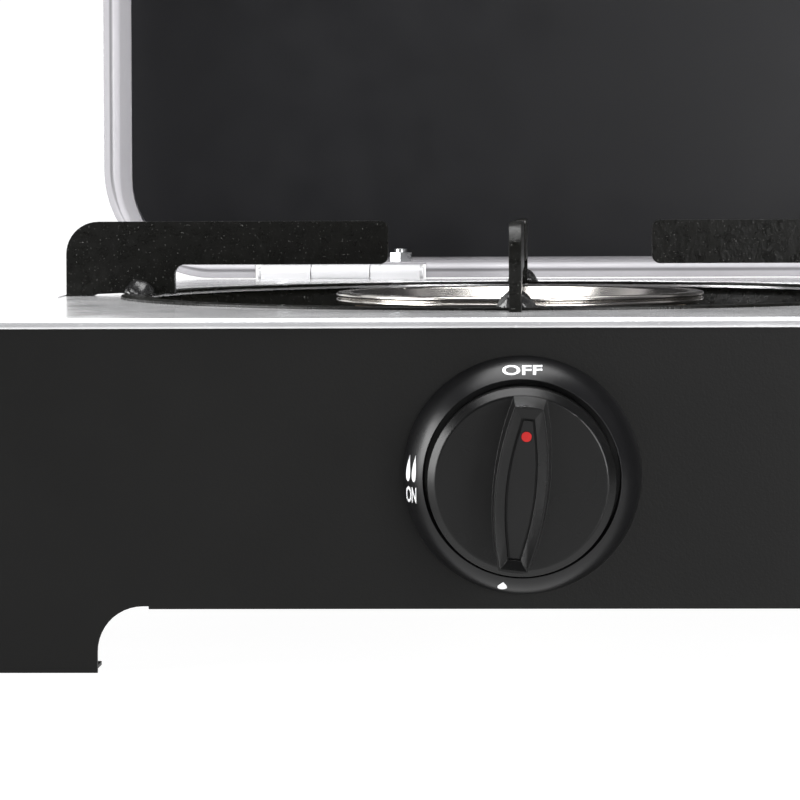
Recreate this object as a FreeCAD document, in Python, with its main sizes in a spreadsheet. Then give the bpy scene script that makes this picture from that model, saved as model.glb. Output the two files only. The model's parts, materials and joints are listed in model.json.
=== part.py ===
import FreeCAD, Part
import math
import os
import re

import Sketcher
from FreeCAD import Placement, Rotation, Vector

# Two-burner camping stove with a hinged lid, in millimetres.
# +X points to the user's right, +Y to the rear, +Z up. The origin is on the ground, under the
# middle of the body. The lid is modelled shut and turned up about its hinge axis into the open
# position; everything else stands where it is used.

DRIVING_SIZES = [
    # alias, value, what it is
    ("body_width", 550.0, "top plate, left to right"),
    ("body_depth", 300.0, "top plate, front to rear"),
    ("plate_top", 75.5, "top plate above the ground"),
    ("sheet", 0.8, "steel sheet of the plate and the panels"),
    ("plate_lip", 2.2, "height of the plate's turned-down edge"),
    ("plate_round", 1.8, "round along the plate's top edge"),
    ("plate_corner", 2.5, "plate corner in plan"),
    ("plate_corner_inner", 1.7, "the same corner inside the lip"),
    ("overcut", 1.0, "how far a cut runs past what it cuts"),
    ("burner_offset", 132.9, "burner axis from the middle of the stove"),
    ("recess_radius", 123.0, "round recess pressed around each burner"),
    ("recess_depth", 0.3, "depth of that recess"),
    ("mouth_radius", 100.5, "opening in the plate over the drip bowl"),
    ("ground_gap", 13.6, "underside of the panels above the ground"),
    ("foot_width", 53.2, "width of a foot, from the end of the body"),
    ("relief_rise", 0.6, "relief cut above the underside beside a foot"),
    ("relief_radius", 9.8, "round between a foot and the relief cut"),
    ("relief_run", 11.0, "length of the relief cut beside a foot"),
    ("flange_width", 12.0, "inward flanges of the panels"),
    ("foot_lip_width", 10.0, "inward lip that a foot stands on"),
    ("corner_room", 14.0, "room at a corner for the neighbouring panel's flange"),
    ("knob_offset", 131.2, "knob axis from the middle of the stove"),
    ("knob_height", 42.1, "knob axis above the ground"),
    ("panel_hole", 7.0, "hole in the front panel for a valve stem"),
    ("bowl_flange_radius", 109.0, "drip bowl flange under the plate"),
    ("bowl_depth", 20.6, "drip bowl floor below its flange"),
    ("bowl_sheet", 0.7, "drip bowl sheet"),
    ("bowl_floor_radius", 93.0, "drip bowl floor"),
    ("bowl_wall_shift", 0.5, "outer wall corner outside the inner one"),
    ("bowl_round", 8.0, "round from the wall to the floor"),
    ("bowl_shoulder", 3.0, "round from the flange to the wall"),
    ("bowl_hole", 34.0, "hole in the drip bowl for the burner"),
    ("bowl_collar", 3.5, "height of the collar around that hole"),
    ("bracket_width", 30.0, "burner bracket, left to right"),
    ("bracket_sheet", 1.2, "burner bracket sheet"),
    ("bracket_tab", 15.0, "upturned ends of the bracket"),
    ("bracket_hole", 12.0, "hole in the bracket for the mixing tube"),
    ("tube_outer", 9.0, "mixing tube, outside radius"),
    ("tube_inner", 7.8, "mixing tube, inside radius"),
    ("tube_bend", 11.2, "mixing tube bend, on its centre line"),
    ("tube_mouth", 96.0, "mixing tube mouth in front of the burner axis"),
    ("tube_top", 61.0, "upper end of the mixing tube above the ground"),
    ("bell_outer", 9.6, "collar around the mixing tube's mouth"),
    ("bell_length", 10.0, "length of that collar"),
    ("neck_bore", 9.03, "bore of the burner neck, on the mixing tube"),
    ("neck_radius", 11.0, "burner neck outside"),
    ("neck_lead", 0.4, "slope of the cup floor at the neck"),
    ("neck_flange", 20.5, "burner flange on the bracket"),
    ("neck_flange_thick", 2.0, "thickness of that flange"),
    ("cup_radius", 44.5, "burner cup outside"),
    ("cup_wall", 1.2, "burner cup wall"),
    ("cup_shoulder", 66.0, "foot of the cup wall above the ground"),
    ("cup_rim", 72.9, "top of the cup wall above the ground"),
    ("cup_round", 3.0, "rounds on the burner cup"),
    ("port_width", 2.0, "flame port width"),
    ("port_height", 3.2, "flame port height"),
    ("port_base", 68.6, "lower edge of the flame ports above the ground"),
    ("cap_radius", 49.45, "burner cap rim"),
    ("cap_top", 76.25, "top of the cap rim above the ground"),
    ("cap_rim_height", 2.9, "height of the cap rim"),
    ("cap_rim_round", 0.7, "rounds of the two beads of the cap rim"),
    ("cap_groove_round", 0.55, "rounds into the groove between those beads"),
    ("cap_groove_depth", 0.6, "depth of that groove"),
    ("cap_groove_half", 0.1, "half the width of that groove"),
    ("cap_dish_radius", 39.5, "floor of the dish in the cap"),
    ("cap_dish_floor", 69.5, "floor of the dish above the ground"),
    ("cap_sheet", 0.8, "cap sheet"),
    ("cap_dish_round", 8.0, "round around the floor of the dish"),
    ("cap_ridge", 45.2, "inner edge of the cap rim"),
    ("cap_ridge_round", 1.3, "round of that edge"),
    ("cap_plug", 43.1, "part of the cap inside the cup wall"),
    ("burner_screw_offset", 16.0, "burner screw from the burner axis"),
    ("burner_screw_tip", 0.5, "how far a burner screw stands out of the bracket"),
    ("ring_inner", 99.5, "pan ring, inside radius"),
    ("ring_outer", 106.6, "pan ring, outside radius"),
    ("ring_thick", 0.6, "pan ring thickness"),
    ("fin_thick", 2.8, "pan fin thickness"),
    ("fin_outer", 122.6, "outer edge of a fin from the burner axis"),
    ("fin_inner", 35.6, "inner tip of a fin from the burner axis"),
    ("fin_leg", 93.3, "inner edge of a fin's leg"),
    ("fin_top", 19.8, "top of a fin above the plate"),
    ("fin_arm", 8.1, "underside of a fin's arm above the plate"),
    ("fin_corner", 8.75, "round at a fin's outer corner"),
    ("fin_tip_round", 2.2, "rounds at a fin's inner tip"),
    ("fin_elbow_round", 2.5, "round between arm and leg"),
    ("fin_foot", 114.5, "inner edge of the foot that a fin stands on"),
    ("fin_arch", 0.5, "arch between that foot and the ring"),
    ("fin_ring_gap", 0.3, "gap between the ring and the fin's foot"),
    ("fin_slope", 1.0, "length of the slopes at both ends of the arch"),
    ("fin_weld_height", 2.4, "weld between a fin and the ring, above the plate"),
    ("fin_weld_width", 6.4, "width of that weld on the ring"),
    ("fin_weld_inset", 0.8, "end of the weld inside the ring's edge"),
    ("dial_outer", 25.3, "dial ring at the panel"),
    ("dial_foot", 0.4, "height of the dial ring's upright foot"),
    ("dial_brow", 24.4, "radius of the corner that the dial ring's brow is rounded from"),
    ("dial_brow_height", 5.7, "height of that corner"),
    ("dial_brow_round", 12.0, "round of the brow"),
    ("dial_inner", 20.75, "inside of the dial ring"),
    ("dial_height", 8.7, "dial ring in front of the panel"),
    ("dial_floor", 2.0, "floor of the dial ring"),
    ("dial_hole", 8.0, "hole in that floor"),
    ("knob_skirt", 19.5, "knob skirt radius"),
    ("knob_rear", 5.5, "rear of the knob in front of the panel"),
    ("knob_shoulder", 15.2, "front of the skirt in front of the panel"),
    ("knob_face_radius", 17.9, "knob face"),
    ("knob_face", 16.8, "knob face in front of the panel"),
    ("knob_round", 0.6, "round at the edge of the knob face"),
    ("knob_wall", 2.0, "knob wall"),
    ("knob_boss", 7.0, "boss around the stem socket"),
    ("knob_tilt", 5.9, "how far the knob rests turned towards its stop"),
    ("grip_foot_length", 35.2, "finger grip at the knob face, across the knob"),
    ("grip_foot_end", 6.8, "width of the grip's ends there"),
    ("grip_foot_swell", 15.4, "width there at the corner that the sides are rounded from"),
    ("grip_foot_bow", 64.0, "radius of the sides there"),
    ("grip_length", 33.0, "finger grip at its front ridge, across the knob"),
    ("grip_end", 5.8, "width of the grip's ends at the ridge"),
    ("grip_swell", 14.8, "width at the ridge at the corner that the sides are rounded from"),
    ("grip_bow", 58.0, "radius of the sides at the ridge"),
    ("grip_bulge", 0.5, "corner that the grip's ends are rounded from, outside the ends"),
    ("grip_end_round", 16.0, "radius of the grip's ends"),
    ("grip_front", 29.5, "front of the grip in front of the panel"),
    ("grip_land", 0.3, "width of the ridge around the grip's front"),
    ("grip_dish", 1.0, "how far the grip's front slopes in from the ridge to the inset"),
    ("inset_length", 28.6, "inset in the grip"),
    ("inset_end", 2.6, "width of the inset at its ends"),
    ("inset_swell", 8.0, "width at the corner that the inset's sides are rounded from"),
    ("inset_bow", 53.0, "radius of the inset's sides"),
    ("inset_depth", 1.2, "depth of the inset"),
    ("inset_gap", 0.4, "groove around the insert"),
    ("insert_thick", 1.1, "thickness of the insert"),
    ("dot_offset", 10.65, "centre of the red dot from the knob axis"),
    ("dot_radius", 1.03, "red dot"),
    ("dot_depth", 0.6, "depth of the red dot in the insert"),
    ("dot_proud", 0.15, "how far the red dot stands out of the insert"),
    ("stem_radius", 4.0, "valve stem"),
    ("stem_rear", 20.0, "rear end of the stem behind the panel's face"),
    ("stem_key_start", 5.5, "start of the stem's flats"),
    ("stem_front", 13.5, "front end of the stem"),
    ("stem_flats", 5.6, "width across the stem's flats"),
    ("stem_key_round", 2.7, "rounds between the flats"),
    ("collar_radius", 5.5, "collar on the stem"),
    ("collar_front", 1.0, "front of the collar behind the panel's face"),
    ("washer_front", 2.0, "front of the spring washer behind the panel's face"),
    ("washer_thick", 1.0, "spring washer thickness"),
    ("washer_radius", 7.2, "spring washer"),
    ("washer_bore", 4.05, "spring washer bore and valve bore"),
    ("spring_radius", 5.8, "valve spring, to the middle of its wire"),
    ("spring_wire", 0.45, "radius of the spring wire"),
    ("spring_pitch", 1.7, "pitch of the valve spring"),
    ("spring_gap", 0.05, "gap at each end of the valve spring"),
    ("valve_front", 9.0, "front of the valve body behind the panel's face"),
    ("valve_rear", 42.0, "rear of the valve body"),
    ("valve_radius", 8.8, "valve body"),
    ("valve_bore_end", 24.0, "end of the bore for the stem"),
    ("manifold_y", 122.0, "gas pipe in front of the middle of the stove"),
    ("manifold_height", 27.5, "gas pipe above the ground"),
    ("pipe_radius", 5.0, "gas pipe, outside"),
    ("pipe_bore", 4.0, "gas pipe, inside"),
    ("pipe_bend", 14.0, "bend of the gas pipe"),
    ("pipe_plug", 2.0, "plug in the closed end of the gas pipe"),
    ("pipe_start", 152.0, "closed end of the gas pipe, left of the middle"),
    ("inlet_x", 242.0, "gas inlet, right of the middle"),
    ("pipe_end", 134.0, "end of the gas pipe in the inlet"),
    ("saddle_block", 9.0, "half width of the valve's saddle on the pipe"),
    ("saddle_drop", 7.0, "saddle below the pipe's axis"),
    ("rest_offset", 70.0, "pipe rest from the middle of the stove"),
    ("rest_width", 12.0, "pipe rest, left to right"),
    ("rest_cheek", 1.0, "pipe rest in front of and behind the pipe"),
    ("rest_foot", 2.0, "thickness of the pipe rest's foot"),
    ("jet_radius", 4.2, "injector hexagon, across corners"),
    ("jet_hex_length", 5.0, "injector hexagon length"),
    ("jet_nose_radius", 2.4, "injector nose"),
    ("jet_nose_length", 4.0, "injector nose length"),
    ("jet_hole", 0.5, "injector hole"),
    ("inlet_hex", 9.5, "inlet hexagon, across corners"),
    ("inlet_hex_length", 16.0, "inlet hexagon length"),
    ("bulkhead_radius", 7.0, "inlet thread through the rear panel"),
    ("bulkhead_end", 158.0, "end of that thread behind the middle"),
    ("hose_thread", 6.58, "thread for the hose nut"),
    ("hose_thread_end", 175.0, "end of the hose thread behind the middle"),
    ("inlet_bore", 3.0, "gas way through the inlet"),
    ("inlet_nut_hex", 11.5, "inlet nut, across corners"),
    ("inlet_nut_thick", 5.0, "inlet nut thickness"),
    ("inlet_hole", 7.1, "hole in the rear panel for the inlet"),
    ("hinge_offset", 193.3, "middle of a hinge from the middle of the stove"),
    ("hinge_y", 152.1, "hinge axis behind the middle of the stove"),
    ("hinge_rise", 1.7, "hinge axis above the top plate"),
    ("knuckle_radius", 2.9, "hinge knuckles"),
    ("hinge_length", 52.2, "hinge, left to right"),
    ("middle_knuckle", 19.1, "middle knuckle, on the lid's leaf"),
    ("knuckle_gap", 0.35, "gap between knuckles"),
    ("leaf_thick", 0.9, "hinge leaf"),
    ("leaf_reach", 19.5, "hinge leaf from the hinge axis"),
    ("leaf_room", 3.3, "cut in a leaf around the other leaf's knuckles"),
    ("pin_radius", 1.3, "hinge pin"),
    ("pin_bore", 1.35, "bore of the knuckles"),
    ("pin_head", 2.1, "heads of the hinge pin"),
    ("pin_head_length", 1.4, "length of a pin head"),
    ("hinge_screw_spread", 19.0, "hinge screw from the middle of the hinge"),
    ("hinge_screw_reach", 14.5, "hinge screw from the hinge axis"),
    ("screw_radius", 2.0, "M4 screws"),
    ("screw_hole", 2.1, "clearance hole for an M4 screw"),
    ("screw_head", 3.8, "pan head"),
    ("screw_head_height", 2.3, "pan head height"),
    ("screw_tip", 1.2, "how far a screw stands out of its nut"),
    ("nut_hex", 4.04, "M4 nut, across corners"),
    ("nut_thick", 3.0, "M4 nut thickness"),
    ("notch_depth", 0.9, "notch in the plate's rear edge at a hinge"),
    ("lid_notch_gap", 0.5, "inner edge of the lid's hinge notch inside its rear wall"),
    ("notch_room", 2.0, "room at each end of a hinge"),
    ("lid_width", 542.4, "lid flange, left to right"),
    ("lid_depth", 300.1, "lid flange, front to rear"),
    ("lid_rear", 1.4, "rear edge of the lid flange behind the hinge axis"),
    ("lid_seat", 1.4, "underside of the lid flange below the hinge axis, lid shut"),
    ("lid_flange", 4.3, "width of the lid flange"),
    ("lid_flange_corner", 36.0, "corner of the lid flange"),
    ("lid_corner", 28.0, "corner of the lid wall"),
    ("lid_corner_inner", 27.3, "corner of the lid wall inside"),
    ("lid_top", 26.6, "outside of the lid above the hinge axis, lid shut"),
    ("lid_sheet", 0.7, "lid sheet"),
    ("lid_round", 1.8, "round along the lid's top edge"),
    ("lid_bend", 2.3, "bend from the wall to the flange, outside"),
    ("liner_side_gap", 0.2, "liner inside the lid's side walls"),
    ("liner_end_gap", 1.3, "liner inside the lid's front and rear walls"),
    ("liner_corner", 27.0, "corner of the liner"),
    ("liner_face", 24.8, "visible face of the liner above the hinge axis, lid shut"),
    ("liner_sheet", 0.5, "liner sheet"),
    ("liner_rib_inset", 4.0, "rib on the liner's back from the lid wall"),
    ("liner_rib_width", 4.0, "width of that rib"),
    ("liner_rib_corner", 24.0, "corner of the rib, outside"),
    ("liner_rib_corner_inner", 20.0, "corner of the rib, inside"),
]

SIDES = (("left", -1), ("right", 1))
FINS = 4
FLAME_PORTS = 36

doc = FreeCAD.newDocument("camping_stove")
sizes = doc.addObject("Spreadsheet::Sheet", "Sizes")
for row, (alias, number, note) in enumerate(DRIVING_SIZES, start=1):
    sizes.set(f"A{row}", alias)
    sizes.set(f"B{row}", str(number))
    sizes.set(f"C{row}", note)
    sizes.setAlias(f"B{row}", alias)
doc.recompute()

ALIASES = {alias for alias, number, note in DRIVING_SIZES}
nodes = []


# ---- the sheet, sketches and features ------------------------------------------------------

def bound(text):
    """An expression in which every alias is read from the sheet."""
    def from_sheet(match):
        word = match.group(0)
        return f"Sizes.{word}" if word in ALIASES else word
    return re.sub(r"[a-z_]+", from_sheet, text)


def size(alias):
    return float(sizes.get(alias))


def drive(target, name, text):
    target.setExpression(name, bound(text))


def place(target, x="0", y="0", z="0", rotation=None):
    """Place an object; its position follows the sheet."""
    target.Placement = Placement(Vector(0, 0, 0), rotation or Rotation())
    for axis, text in (("x", x), ("y", y), ("z", z)):
        drive(target, f"Placement.Base.{axis}", text)


def new_body(label, x="0", y="0", z="0", rotation=None):
    body = doc.addObject("PartDesign::Body", label)
    body.Label = label
    body.AllowCompound = True
    place(body, x, y, z, rotation)
    nodes.append(body)
    return body


def new_sketch(body, plane, offset="0"):
    sketch = body.newObject("Sketcher::SketchObject", "Outline")
    origin_plane = next(item for item in body.Origin.OriginFeatures if item.Role == plane)
    sketch.AttachmentSupport = (origin_plane, "")
    sketch.MapMode = "FlatFace"
    drive(sketch, "AttachmentOffset.Base.z", offset)
    return sketch


def pin_down(sketch, geometry, point, x, y):
    """Fix a point of the sketch at two expressions."""
    for kind, text in (("DistanceX", x), ("DistanceY", y)):
        index = sketch.addConstraint(Sketcher.Constraint(kind, -1, 1, geometry, point, 0.0))
        drive(sketch, f"Constraints[{index}]", text)


def add_circle(sketch, x, y, radius):
    start = Part.Circle(Vector(0, 0, 0), Vector(0, 0, 1), size(radius))
    circle = sketch.addGeometry(start, False)
    index = sketch.addConstraint(Sketcher.Constraint("Radius", circle, size(radius)))
    drive(sketch, f"Constraints[{index}]", radius)
    pin_down(sketch, circle, 3, x, y)


def add_arc(sketch, before, corner, after, radius):
    """An arc that rounds a corner; returns it with its ends on the line before and after."""
    towards = (before - corner).normalize()
    away = (after - corner).normalize()
    half_angle = towards.getAngle(away) / 2
    left_turn = (corner - before).cross(after - corner).z > 0
    middle = (towards + away).normalize()
    centre = corner + middle * (radius / math.sin(half_angle))
    first = corner + towards * (radius / math.tan(half_angle))
    last = corner + away * (radius / math.tan(half_angle))
    start, end = (first, last) if left_turn else (last, first)
    circle = Part.Circle(centre, Vector(0, 0, 1), radius)
    arc = Part.ArcOfCircle(circle, circle.parameter(start), circle.parameter(end))
    return arc, first, last, left_turn


def add_outline(sketch, corners):
    """A closed outline through corners (x, y) or (x, y, radius), each bound to the sheet."""
    marks = []
    for corner in corners:
        mark = sketch.addGeometry(Part.Point(Vector(0, 0, 0)), True)
        pin_down(sketch, mark, 1, corner[0], corner[1])
        marks.append(mark)
    sketch.recompute()
    spots = [Vector(sketch.Geometry[mark].X, sketch.Geometry[mark].Y, 0) for mark in marks]
    count = len(corners)
    arcs = [None] * count
    for here, corner in enumerate(corners):
        if len(corner) == 3:
            before, after = spots[here - 1], spots[(here + 1) % count]
            arcs[here] = add_arc(sketch, before, spots[here], after, size(corner[2]))
    lines = []
    for here in range(count):
        there = (here + 1) % count
        start = arcs[here][2] if arcs[here] else spots[here]
        end = arcs[there][1] if arcs[there] else spots[there]
        lines.append(sketch.addGeometry(Part.LineSegment(start, end), False))
    for here, corner in enumerate(corners):
        before, after, mark = lines[here - 1], lines[here], marks[here]
        if arcs[here] is None:
            sketch.addConstraint(Sketcher.Constraint("Coincident", before, 2, mark, 1))
            sketch.addConstraint(Sketcher.Constraint("Coincident", after, 1, mark, 1))
            continue
        shape, first, last, left_turn = arcs[here]
        arc = sketch.addGeometry(shape, False)
        first_end, last_end = (1, 2) if left_turn else (2, 1)
        sketch.addConstraint(Sketcher.Constraint("Tangent", before, 2, arc, first_end))
        sketch.addConstraint(Sketcher.Constraint("Tangent", arc, last_end, after, 1))
        sketch.addConstraint(Sketcher.Constraint("PointOnObject", mark, 1, before))
        sketch.addConstraint(Sketcher.Constraint("PointOnObject", mark, 1, after))
        index = sketch.addConstraint(Sketcher.Constraint("Radius", arc, size(corner[2])))
        drive(sketch, f"Constraints[{index}]", corner[2])


def outline(body, plane, corners, offset="0"):
    sketch = new_sketch(body, plane, offset)
    add_outline(sketch, corners)
    return sketch


def circles(body, plane, centres, radius, offset="0"):
    sketch = new_sketch(body, plane, offset)
    for x, y in centres:
        add_circle(sketch, x, y, radius)
    return sketch


def rectangle(x_low, y_low, x_high, y_high, radius=None):
    corners = [(x_low, y_low), (x_high, y_low), (x_high, y_high), (x_low, y_high)]
    return [corner + (radius,) for corner in corners] if radius else corners


def solid_volume(body):
    return body.Shape.Volume if body.Tip else 0.0


def add_feature(body, kind, sketch, grows, settings, lengths):
    """A sketched feature, checked for having added or removed material as meant."""
    volume = solid_volume(body)
    feature = body.newObject(kind, kind.split("::")[1])
    feature.Profile = sketch
    for name, setting in settings.items():
        setattr(feature, name, setting)
    for name, text in lengths.items():
        drive(feature, name, text)
    body.Tip = feature
    doc.recompute()
    change = body.Shape.Volume - volume
    if (change > 0) != grows or abs(change) < 1e-6:
        raise RuntimeError(f"{body.Label}: {feature.Name} changed the volume by {change:.3f}")
    return feature


def pad(body, sketch, length, reverse=False, both_ways=False):
    settings = {"Reversed": reverse, "Midplane": both_ways}
    return add_feature(body, "PartDesign::Pad", sketch, True, settings, {"Length": length})


def pocket(body, sketch, length, reverse=False, both_ways=False):
    settings = {"Reversed": reverse, "Midplane": both_ways}
    return add_feature(body, "PartDesign::Pocket", sketch, False, settings, {"Length": length})


def revolve(body, sketch):
    settings = {"ReferenceAxis": (sketch, ["V_Axis"]), "Angle": 360.0}
    return add_feature(body, "PartDesign::Revolution", sketch, True, settings, {})


def round_edges(body, radius, chosen):
    """Round the edges of the body that the test picks."""
    base = body.Tip
    names = [
        f"Edge{index}"
        for index, edge in enumerate(base.Shape.Edges, start=1)
        if chosen(edge)
    ]
    if not names:
        raise RuntimeError(f"{body.Label}: no edge to round")
    feature = body.newObject("PartDesign::Fillet", "Fillet")
    feature.Base = (base, names)
    drive(feature, "Radius", radius)
    body.Tip = feature
    volume = base.Shape.Volume
    doc.recompute()
    if "Invalid" in feature.State or abs(body.Shape.Volume - volume) < 1e-6:
        raise RuntimeError(f"{body.Label}: {feature.Name} did not round {names}")
    return feature


def edge_at_height(height):
    """A test for edges that lie flat at a height of the body."""
    def chosen(edge):
        box = edge.BoundBox
        return abs(box.ZMin - height) < 0.01 and abs(box.ZMax - height) < 0.01
    return chosen


def primitive(kind, lengths, x="0", y="0", z="0", rotation=None):
    """A Part primitive whose sizes follow the sheet."""
    item = doc.addObject(kind, kind.split("::")[1])
    place(item, x, y, z, rotation)
    for name, text in lengths.items():
        drive(item, name, text)
    return item


def cylinder(radius, height, x="0", y="0", z="0", rotation=None):
    return primitive("Part::Cylinder", {"Radius": radius, "Height": height}, x, y, z, rotation)


def box(length, width, height, x="0", y="0", z="0"):
    lengths = {"Length": length, "Width": width, "Height": height}
    return primitive("Part::Box", lengths, x, y, z)


def hexagon(corner_radius, height, x="0", y="0", z="0", rotation=None):
    lengths = {"Circumradius": corner_radius, "Height": height}
    item = primitive("Part::Prism", lengths, x, y, z, rotation)
    item.Polygon = 6
    return item


def fused(items):
    union = doc.addObject("Part::MultiFuse", "Union")
    union.Shapes = items
    return union


def cut_node(label, base, tools):
    """A node made of one shape less the tools."""
    node = doc.addObject("Part::Cut", label)
    node.Label = label
    node.Base = base
    node.Tool = fused(tools) if len(tools) > 1 else tools[0]
    nodes.append(node)
    return node


# ---- top plate and body panels --------------------------------------------------------------

def fastener_spots(height):
    """The four hinge screws at a height."""
    spots = []
    for name, side in SIDES:
        for spread in ("-", "+"):
            spots.append((f"{side} * hinge_offset {spread} hinge_screw_spread", height))
    return spots


def both_sides(x, y="0"):
    return [(f"-({x})", y), (x, y)]


def make_top_plate():
    body = new_body("top_plate", z="plate_top")
    half_x, half_y = "body_width / 2", "body_depth / 2"
    rim = rectangle(f"-{half_x}", f"-{half_y}", half_x, half_y, "plate_corner")
    pad(body, outline(body, "XY_Plane", rim), "plate_lip", reverse=True)
    round_edges(body, "plate_round", edge_at_height(0.0))
    inner_x, inner_y = f"({half_x} - sheet)", f"({half_y} - sheet)"
    inside = rectangle(f"-{inner_x}", f"-{inner_y}", inner_x, inner_y, "plate_corner_inner")
    below = outline(body, "XY_Plane", inside, "-plate_lip")
    pocket(body, below, "plate_lip - sheet", reverse=True)
    burners = both_sides("burner_offset")
    below_recess = circles(body, "XY_Plane", burners, "recess_radius", "-sheet")
    pad(body, below_recess, "recess_depth", reverse=True)
    pocket(body, circles(body, "XY_Plane", burners, "recess_radius"), "recess_depth")
    pocket(body, circles(body, "XY_Plane", burners, "mouth_radius"), "plate_lip")
    notches = new_sketch(body, "XY_Plane")
    for name, side in SIDES:
        middle = f"{side} * hinge_offset"
        reach = "(hinge_length / 2 + notch_room)"
        inner_edge, outer_edge = f"{half_y} - notch_depth", f"{half_y} + overcut"
        notch = (f"{middle} - {reach}", inner_edge, f"{middle} + {reach}", outer_edge)
        add_outline(notches, rectangle(*notch))
    pocket(body, notches, "plate_lip + overcut")


def panel_corners(half_length, foot_edge):
    """Outline of a panel with a foot at each end and a relief cut beside each foot."""
    top = "plate_top - sheet"
    relief = "ground_gap + relief_rise"
    run = f"({foot_edge} - relief_run)"
    return [
        (f"-{half_length}", "0"),
        (f"-{foot_edge}", "0"),
        (f"-{foot_edge}", relief, "relief_radius"),
        (f"-{run}", relief),
        (f"-{run}", "ground_gap"),
        (run, "ground_gap"),
        (run, relief),
        (foot_edge, relief, "relief_radius"),
        (foot_edge, "0"),
        (half_length, "0"),
        (half_length, top),
        (f"-{half_length}", top),
    ]


def make_panel(label, plane, face, reverse, half_length, foot_edge, flange_reach):
    """A panel with inward flanges along its top and underside and a lip under each foot."""
    body = new_body(label)
    pad(body, outline(body, plane, panel_corners(half_length, foot_edge), face), "sheet", reverse)
    top = "plate_top - sheet"
    underside = f"({foot_edge} - relief_run)"
    flanges = new_sketch(body, plane, face)
    upper = (f"-{flange_reach}", f"{top} - sheet", flange_reach, top)
    lower = (f"-{underside}", "ground_gap", underside, "ground_gap + sheet")
    add_outline(flanges, rectangle(*upper))
    add_outline(flanges, rectangle(*lower))
    pad(body, flanges, "flange_width", reverse)
    lips = new_sketch(body, plane, face)
    for name, side in SIDES:
        outer = f"({half_length} - corner_room)"
        inner = f"({foot_edge} + sheet)"
        low, high = (f"-{outer}", f"-{inner}") if side < 0 else (inner, outer)
        add_outline(lips, rectangle(low, "0", high, "sheet"))
    pad(body, lips, "foot_lip_width", reverse)
    return body


def make_front_and_rear_panels():
    half_length = "(body_width / 2 - sheet)"
    foot_edge = "(body_width / 2 - foot_width)"
    flange_reach = f"({half_length} - corner_room)"
    face = "body_depth / 2 - sheet"
    shape = (half_length, foot_edge, flange_reach)
    front = make_panel("front_panel", "XZ_Plane", face, True, *shape)
    stems = circles(front, "XZ_Plane", both_sides("knob_offset", "knob_height"), "panel_hole", face)
    pocket(front, stems, "sheet", reverse=False)
    rear = make_panel("rear_panel", "XZ_Plane", f"-({face})", False, *shape)
    inlet = circles(rear, "XZ_Plane", [("inlet_x", "manifold_height")], "inlet_hole", f"-({face})")
    pocket(rear, inlet, "sheet", reverse=True)
    spots = fastener_spots("plate_top + hinge_rise - hinge_screw_reach")
    screws = circles(rear, "XZ_Plane", spots, "screw_hole", f"-({face})")
    pocket(rear, screws, "sheet", reverse=True)


def make_side_panels():
    half_length = "(body_depth / 2 - 2 * sheet)"
    foot_edge = "(body_depth / 2 - foot_width)"
    flange_reach = f"({half_length} - corner_room)"
    for name, side in SIDES:
        face = f"{side} * (body_width / 2 - sheet)"
        inward = side > 0
        body = make_panel(
            f"side_panel_{name}", "YZ_Plane", face, inward, half_length, foot_edge, flange_reach)
        ends = new_sketch(body, "YZ_Plane", face)
        for end in (-1, 1):
            low, high = f"{half_length} - sheet", half_length
            if end < 0:
                low, high = f"-{half_length}", f"-{half_length} + sheet"
            add_outline(ends, rectangle(low, "0", high, "plate_top - sheet"))
        pad(body, ends, "flange_width", inward)


# ---- drip bowls and pan supports ------------------------------------------------------------

def make_drip_bowl(name, side):
    body = new_body(f"drip_bowl_{name}", x=f"{side} * burner_offset", z="plate_top")
    flange = "-(sheet + recess_depth)"
    floor = f"({flange} - bowl_depth)"
    section = [
        ("bowl_flange_radius", flange),
        ("mouth_radius", flange, "bowl_shoulder"),
        ("bowl_floor_radius", floor, "bowl_round"),
        ("bowl_hole", floor),
        ("bowl_hole", f"{floor} + bowl_collar"),
        ("bowl_hole - bowl_sheet", f"{floor} + bowl_collar"),
        ("bowl_hole - bowl_sheet", f"{floor} - bowl_sheet"),
        ("bowl_floor_radius + bowl_wall_shift", f"{floor} - bowl_sheet", "bowl_round"),
        ("mouth_radius + bowl_wall_shift", f"{flange} - bowl_sheet", "bowl_shoulder"),
        ("bowl_flange_radius", f"{flange} - bowl_sheet"),
    ]
    revolve(body, outline(body, "XZ_Plane", section))


def make_pan_ring(name, side):
    body = new_body(f"pan_ring_{name}", x=f"{side} * burner_offset", z="plate_top - recess_depth")
    ring = new_sketch(body, "XY_Plane")
    add_circle(ring, "0", "0", "ring_outer")
    add_circle(ring, "0", "0", "ring_inner")
    pad(body, ring, "ring_thick")


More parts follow.
